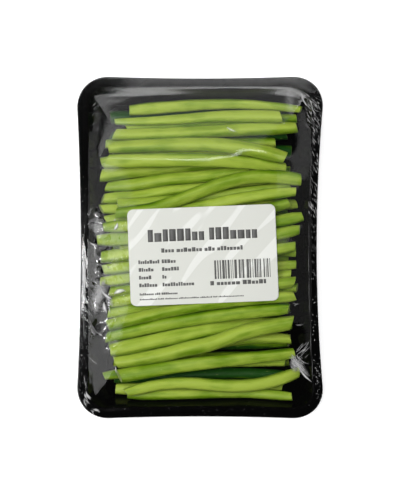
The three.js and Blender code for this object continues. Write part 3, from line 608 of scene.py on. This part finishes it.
# Where, and the heading, length, width, bend and whiteness. Most are painted glints, glare and haze, where
# the film would catch the lamps.
PLACED = (
    (-63.1, -2.5, -91, 24.0, 2.4, 0.06, 0.9), (-62.3, -6.5, -92, 15.0, 0.8, -0.1, 0.7),
    (-64.1, -9.5, -90, 12.0, 0.9, 0.05, 0.7), (-62.6, -24.0, -91, 6.5, 1.0, 0.2, 0.7),
    (-63.2, -28.6, -91, 24, 0.5, 0.05, 0.5), (-51.6, -17.0, -114, 20, 10.5, 0.3, 0.42),
    (-49.4, -20.5, -130, 12, 7.0, 0.4, 0.22), (-50.8, -25.0, -70, 8, 5.5, 0.3, 0.3),
    (-53.4, -23.7, -48, 7.0, 2.4, 0.4, 1.0), (-46.8, -25.2, 27, 6.5, 3.6, -0.3, 1.0),
    (-52.3, -29.7, -85, 6.0, 2.8, 0.4, 1.0), (-49.3, -32.4, -85, 3.4, 0.8, 0.2, 0.8),
    (-58.9, -11.7, -30, 4.4, 0.5, 0.1, 0.8), (-55.0, -46.6, -45, 2.6, 1.6, 0.5, 0.7),
    (-60.5, -59.1, -52, 7.0, 0.6, 0.3, 0.7), (-45.8, -64.6, -92, 3.8, 1.1, 0.2, 0.8),
    (-46.9, 9.6, 50, 4.4, 2.6, 0.4, 1.0), (-46.9, 14.4, 45, 1.6, 1.0, 0.0, 0.9),
    (-60.0, 3.0, -40, 5.0, 1.8, 0.5, 0.75), (-62.1, -78.2, -75, 5.4, 1.6, 0.5, 0.7),
    (-58.3, -88.0, -25, 3.6, 1.1, 0.4, 0.8), (-63.2, -69.5, -82, 8.0, 1.2, 0.2, 0.35),
    (49.0, 88.0, -88, 17, 9.0, 0.1, 0.15), (14.2, 65.7, -31, 6.4, 2.4, 0.2, 0.45),
    (49.6, -58.8, -54, 15.0, 6.0, 0.2, 0.40), (50.0, -60.5, -80, 8.0, 4.0, 0.2, 0.25),
    (54.0, -66.2, -50, 10.0, 1.5, 0.15, 0.9), (55.0, 84.6, -72, 4.0, 0.9, 0.1, 1.0),
    (55.4, 82.2, -63, 6.2, 1.0, 0.1, 1.0), (57.6, 84.2, -50, 3.4, 0.7, 0.2, 0.8),
    (59.2, 81.0, -58, 4.2, 0.6, -0.2, 0.8), (60.8, 76.6, -66, 4.6, 0.6, 0.1, 0.8),
    (51.8, -41.7, -14, 5.0, 1.4, 0.6, 0.16), (52.6, -42.6, 20, 3.0, 0.9, -0.5, 0.2),
    (50.4, -30.0, -25, 4.0, 1.3, 0.7, 0.18), (51.0, -31.6, 15, 2.6, 0.8, 0.6, 0.22))

random = np.random.default_rng(12)
creases = np.concatenate([strewn(*row) for row in STREWN] + [np.array(PLACED)])
# A diffuse white on the ridges: partly the whitening of folded film, partly painted highlights, glare and
# haze.
folds_and_glints = Finish("film folds and painted glints")
folds_and_glints.set(Base_Color=(0.85, 0.85, 0.85, 1), Roughness=0.5, Specular_IOR_Level=0.1)
veil = folds_and_glints.add("ShaderNodeAttribute", attribute_name="whiteness_and_glint").outputs["Fac"]
mottle = folds_and_glints.ramp(folds_and_glints.noise(folds_and_glints.sheet((0.0024, 0.0024, 0.0024))), 0.3, 0.7, 0.65, 1.1)
through = folds_and_glints.add("ShaderNodeBsdfTransparent")
folds_and_glints_mix = folds_and_glints.add("ShaderNodeMixShader", {
    0: folds_and_glints.maths("MULTIPLY", veil, mottle), 1: through.outputs[0], 2: folds_and_glints.shader.outputs[0]})
folds_and_glints.feed(folds_and_glints.tree.nodes["Material Output"].inputs["Surface"], folds_and_glints_mix.outputs[0])
crease_points, crease_faces, whiteness_and_glint = ridges(creases)
film_creases_and_glints = new_piece("film_creases_and_glints", crease_points, crease_faces, folds_and_glints.material)
give_points(film_creases_and_glints, "whiteness_and_glint", "FLOAT", whiteness_and_glint)


# ---- the label -----------------------------------------------------------------------------------------
# A rounded paper sticker on the film, printed in greys: pale slanting bands, plain bars where a shop's words
# would be, and a pattern of thin bars. It bridges the hollows between the beans that hold the film up.
LABEL_X, LABEL_Y, LABEL_CORNER, LABEL_THICK = 40.25, 26.25, 3.2, 0.14
LABEL_CENTRE, LABEL_TURN, LABEL_LIFT = np.array([1.6, -4.1]), np.radians(2.3), 0.45
PRINT_LIFT, PRINT_SUNK = 0.012, 0.05
bridged = soften(np.maximum(soften(tight, 120), tight), 60)


def on_label(local, lift):
    """Points on the label from places on its flat sheet: turned, moved to its middle, and raised on to the
    bridged beans."""
    turn = np.array([(np.cos(LABEL_TURN), np.sin(LABEL_TURN)), (-np.sin(LABEL_TURN), np.cos(LABEL_TURN))])
    flat = local @ turn + LABEL_CENTRE
    height = on_grid(bridged, flat[..., 0], flat[..., 1]) + LABEL_LIFT + lift
    return np.concatenate([flat, height[..., None]], -1)


PAPER_GREY, PAPER_PALE = (0.680, 0.690, 0.640, 1), (0.790, 0.800, 0.760, 1)
share = np.concatenate([np.linspace(0.06, 0.94, 34), [0.97, 0.99, 1.0]])
label_table = np.stack([LABEL_X * share, LABEL_Y * share, LABEL_CORNER * share, 0 * share, 0 * share], 1)
label_rings = pack_loops(label_table, edge_places(arc=8, short=44, long=66))[:, :, :2]
paper = Finish("label paper")
bands = paper.noise(paper.sheet((0.05, 0.008, 1.0), turn=(0, 0, 0.9)), detail=1.0, roughness=0.4)
fibre = paper.noise(paper.sheet((0.0004, 0.0004, 0.0004)), detail=2.0)
paper.set(
    Base_Color=paper.blend(paper.ramp(bands, 0.55, 0.58), PAPER_GREY, PAPER_PALE),
    Roughness=0.55, Normal=paper.bump(fibre, 0.08, 0.00003))
label = ring_body("paper_label", np.concatenate([
    on_label(label_rings, 0.0), on_label(label_rings, LABEL_THICK)[::-1]]), paper.material)
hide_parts("label")


def words(left, bottom, tall, lengths, pitch):
    """A line of print as plain blocks, one for each letter that a line of words of these lengths would have:
    the middle, the width and the height of each. Some are taller, as letters with risers are."""
    blocks, at = [], left
    for count in lengths:
        for width in random.uniform(0.55, 0.95, count) * pitch:
            height = tall * (1.0 if random.random() < 0.35 or not blocks else 0.72)
            blocks.append((at + width / 2, bottom + height / 2, width, height))
            at += width + 0.18 * pitch
        at += 0.5 * pitch
    return blocks


# Two headlines, four short rows in two columns, a line under the bars, and two lines of small print.
lines = [(-29.5, 8.2, 6.6, (8, 7), 4.1), (-22.5, 2.2, 2.3, (4, 7, 3, 8), 2.1)]
for row, (first, second) in enumerate(((9, 5), (6, 6), (5, 2), (7, 12))):
    bottom = -3.5 - 4.2 * row
    lines += [(-35.2, bottom, 2.0, (first,), 1.45), (-22.5, bottom, 2.0, (second,), 1.6)]
lines += [(3.4, -16.6, 2.3, (1, 6, 6), 2.3), (-35.2, -20.6, 1.2, (8, 3, 9), 1.0),
          (-35.2, -23.2, 0.8, (12, 4, 9, 14, 8, 3, 18), 0.85)]
random = np.random.default_rng(8)
marks = [block for line in lines for block in words(*line)]

BARS_LEFT, BARS_RIGHT, BARS_MIDDLE, BARS_TALL = 5.9, 36.4, -8.2, 10.1
widths = random.choice([0.33, 0.66, 0.99, 1.32], 60, p=[0.45, 0.3, 0.15, 0.1])
edges = BARS_LEFT + np.concatenate([[0], np.cumsum(widths)])
marks += [((a + b) / 2, BARS_MIDDLE, b - a, BARS_TALL)
          for a, b in zip(edges[:-1:2], edges[1::2]) if b < BARS_RIGHT]
marks = np.array(marks)


def printed(boxes, lift):
    """Thin closed plates on the label, each a grid of 3 by 7 places so that it follows the paper, with its 21
    points below and 21 above: two lids, and a wall round the rim between them."""
    u, v = np.meshgrid(np.linspace(-0.5, 0.5, 3), np.linspace(-0.5, 0.5, 7), indexing="ij")
    local = np.stack([boxes[:, 0, None, None] + boxes[:, 2, None, None] * u,
                      boxes[:, 1, None, None] + boxes[:, 3, None, None] * v], -1)
    upper, lower = on_label(local, LABEL_THICK + lift), on_label(local, LABEL_THICK - PRINT_SUNK)
    points = np.stack([lower, upper], 1).reshape(-1, 3)
    i, j = np.meshgrid(np.arange(2), np.arange(6), indexing="ij")
    a = (i * 7 + j).ravel()
    lid = np.stack([a, a + 7, a + 8, a + 1], 1)
    rim = np.concatenate([[0, 7], np.arange(14, 20), [20, 13], np.arange(6, 0, -1)])
    wall = np.stack([rim, np.roll(rim, -1), np.roll(rim, -1) + 21, rim + 21], 1)
    one = np.concatenate([lid[:, ::-1], lid + 21, wall])
    return points, (one[None] + 42 * np.arange(len(boxes))[:, None, None]).reshape(-1, 4).tolist()


INK_DARK, INK_WORN = (0.085, 0.085, 0.082, 1), (0.12, 0.12, 0.115, 1)
ink = Finish("grey ink")
worn = ink.ramp(ink.noise(ink.sheet((0.008, 0.008, 0.008))), 0.3, 0.7)
ink.set(Base_Color=ink.blend(worn, INK_DARK, INK_WORN), Roughness=0.5)
print_marks = new_piece("label_print", *printed(marks, PRINT_LIFT), ink.material)


# ---- the floor and the lights --------------------------------------------------------------------------
# A plain pale sheet under the pack. One wide panel above lights it evenly and stays out of reflections; the
# film shows the smaller ones: strips past the top end, large dim ones to the left with small bright ones
# among them, and faint ones to the right. The lower end reflects nothing and stays black.
FLOOR_REACH, FLOOR_GLOW, LAMP_HEIGHT, BACKDROP_GLOW = 4, 0.6, 1.6, 0.02
pale = Finish("pale floor")
pale.set(Base_Color=(0.9, 0.9, 0.9, 1), Roughness=0.8,
         Emission_Color=(1, 1, 1, 1), Emission_Strength=FLOOR_GLOW)
floor_mesh = bpy.data.meshes.new("floor")
floor_mesh.from_pydata([(-FLOOR_REACH, -FLOOR_REACH, 0), (FLOOR_REACH, -FLOOR_REACH, 0),
                        (FLOOR_REACH, FLOOR_REACH, 0), (-FLOOR_REACH, FLOOR_REACH, 0)], [], [(0, 1, 2, 3)])
floor_mesh.materials.append(pale.material)
floor = bpy.data.objects.new("floor", floor_mesh)
bpy.context.scene.collection.objects.link(floor)


def soft_panel(name, x, y, height, radiance, shows=True):
    """A horizontal lamp over the pack, from x[0] to x[1] and from y[0] to y[1], of power radiance times pi
    times area. One that doesn't show is absent from reflections."""
    lamp = bpy.data.lights.new(name, "AREA")
    lamp.shape, lamp.size, lamp.size_y = "RECTANGLE", x[1] - x[0], y[1] - y[0]
    lamp.energy = radiance * np.pi * lamp.size * lamp.size_y
    panel = bpy.data.objects.new(name, lamp)
    panel.location = (sum(x) / 2, sum(y) / 2, height)
    panel.visible_glossy = shows
    bpy.context.scene.collection.objects.link(panel)


soft_panel("wash", (-1.15, 0.9), (-0.2, 1.45), 2.0, 3.45, shows=False)
for name, x, y, radiance in (
        ("top_rim", (-0.11, 0.25), (0.235, 0.262), 1.4),
        ("top_near", (-0.15, 0.25), (0.262, 0.33), 3.8),
        ("top_left", (-0.9, -0.15), (0.262, 0.33), 1.5),
        ("top_far", (-0.9, 0.25), (0.33, 0.62), 0.45),
        ("left_near", (-1.7, -0.30), (-0.11, 0.02), 1.8),
        ("left_up", (-1.7, -0.30), (0.02, 0.235), 0.4),
        ("left_low", (-0.72, -0.30), (-1.1, -0.145), 1.2),
        ("left_far", (-1.7, -0.72), (-1.1, -0.145), 1.7),
        ("glare", (-0.66, -0.36), (-0.12, -0.055), 6),
        ("key", (-1.25, -0.80), (-0.22, 0.13), 22),
        ("edge", (-0.22, -0.150), (-0.10, 0.0), 12),
        ("right_up", (0.34, 0.80), (0.12, 0.262), 0.5),
        ("right_low", (0.34, 0.80), (-0.20, 0.12), 0.12)):
    soft_panel(name, x, y, LAMP_HEIGHT, radiance)
world = bpy.data.worlds.new("studio")
world.use_nodes = True
bpy.context.scene.world = world
seen = world.node_tree.nodes.new("ShaderNodeLightPath").outputs["Is Camera Ray"]
backdrop = world.node_tree.nodes["Background"]
backdrop.inputs["Color"].default_value = (1, 1, 1, 1)
brightness = world.node_tree.nodes.new("ShaderNodeMapRange")
brightness.inputs["To Min"].default_value, brightness.inputs["To Max"].default_value = BACKDROP_GLOW, 1.0
world.node_tree.links.new(seen, brightness.inputs["Value"])
world.node_tree.links.new(brightness.outputs["Result"], backdrop.inputs["Strength"])
bpy.context.scene.view_settings.view_transform = "Standard"
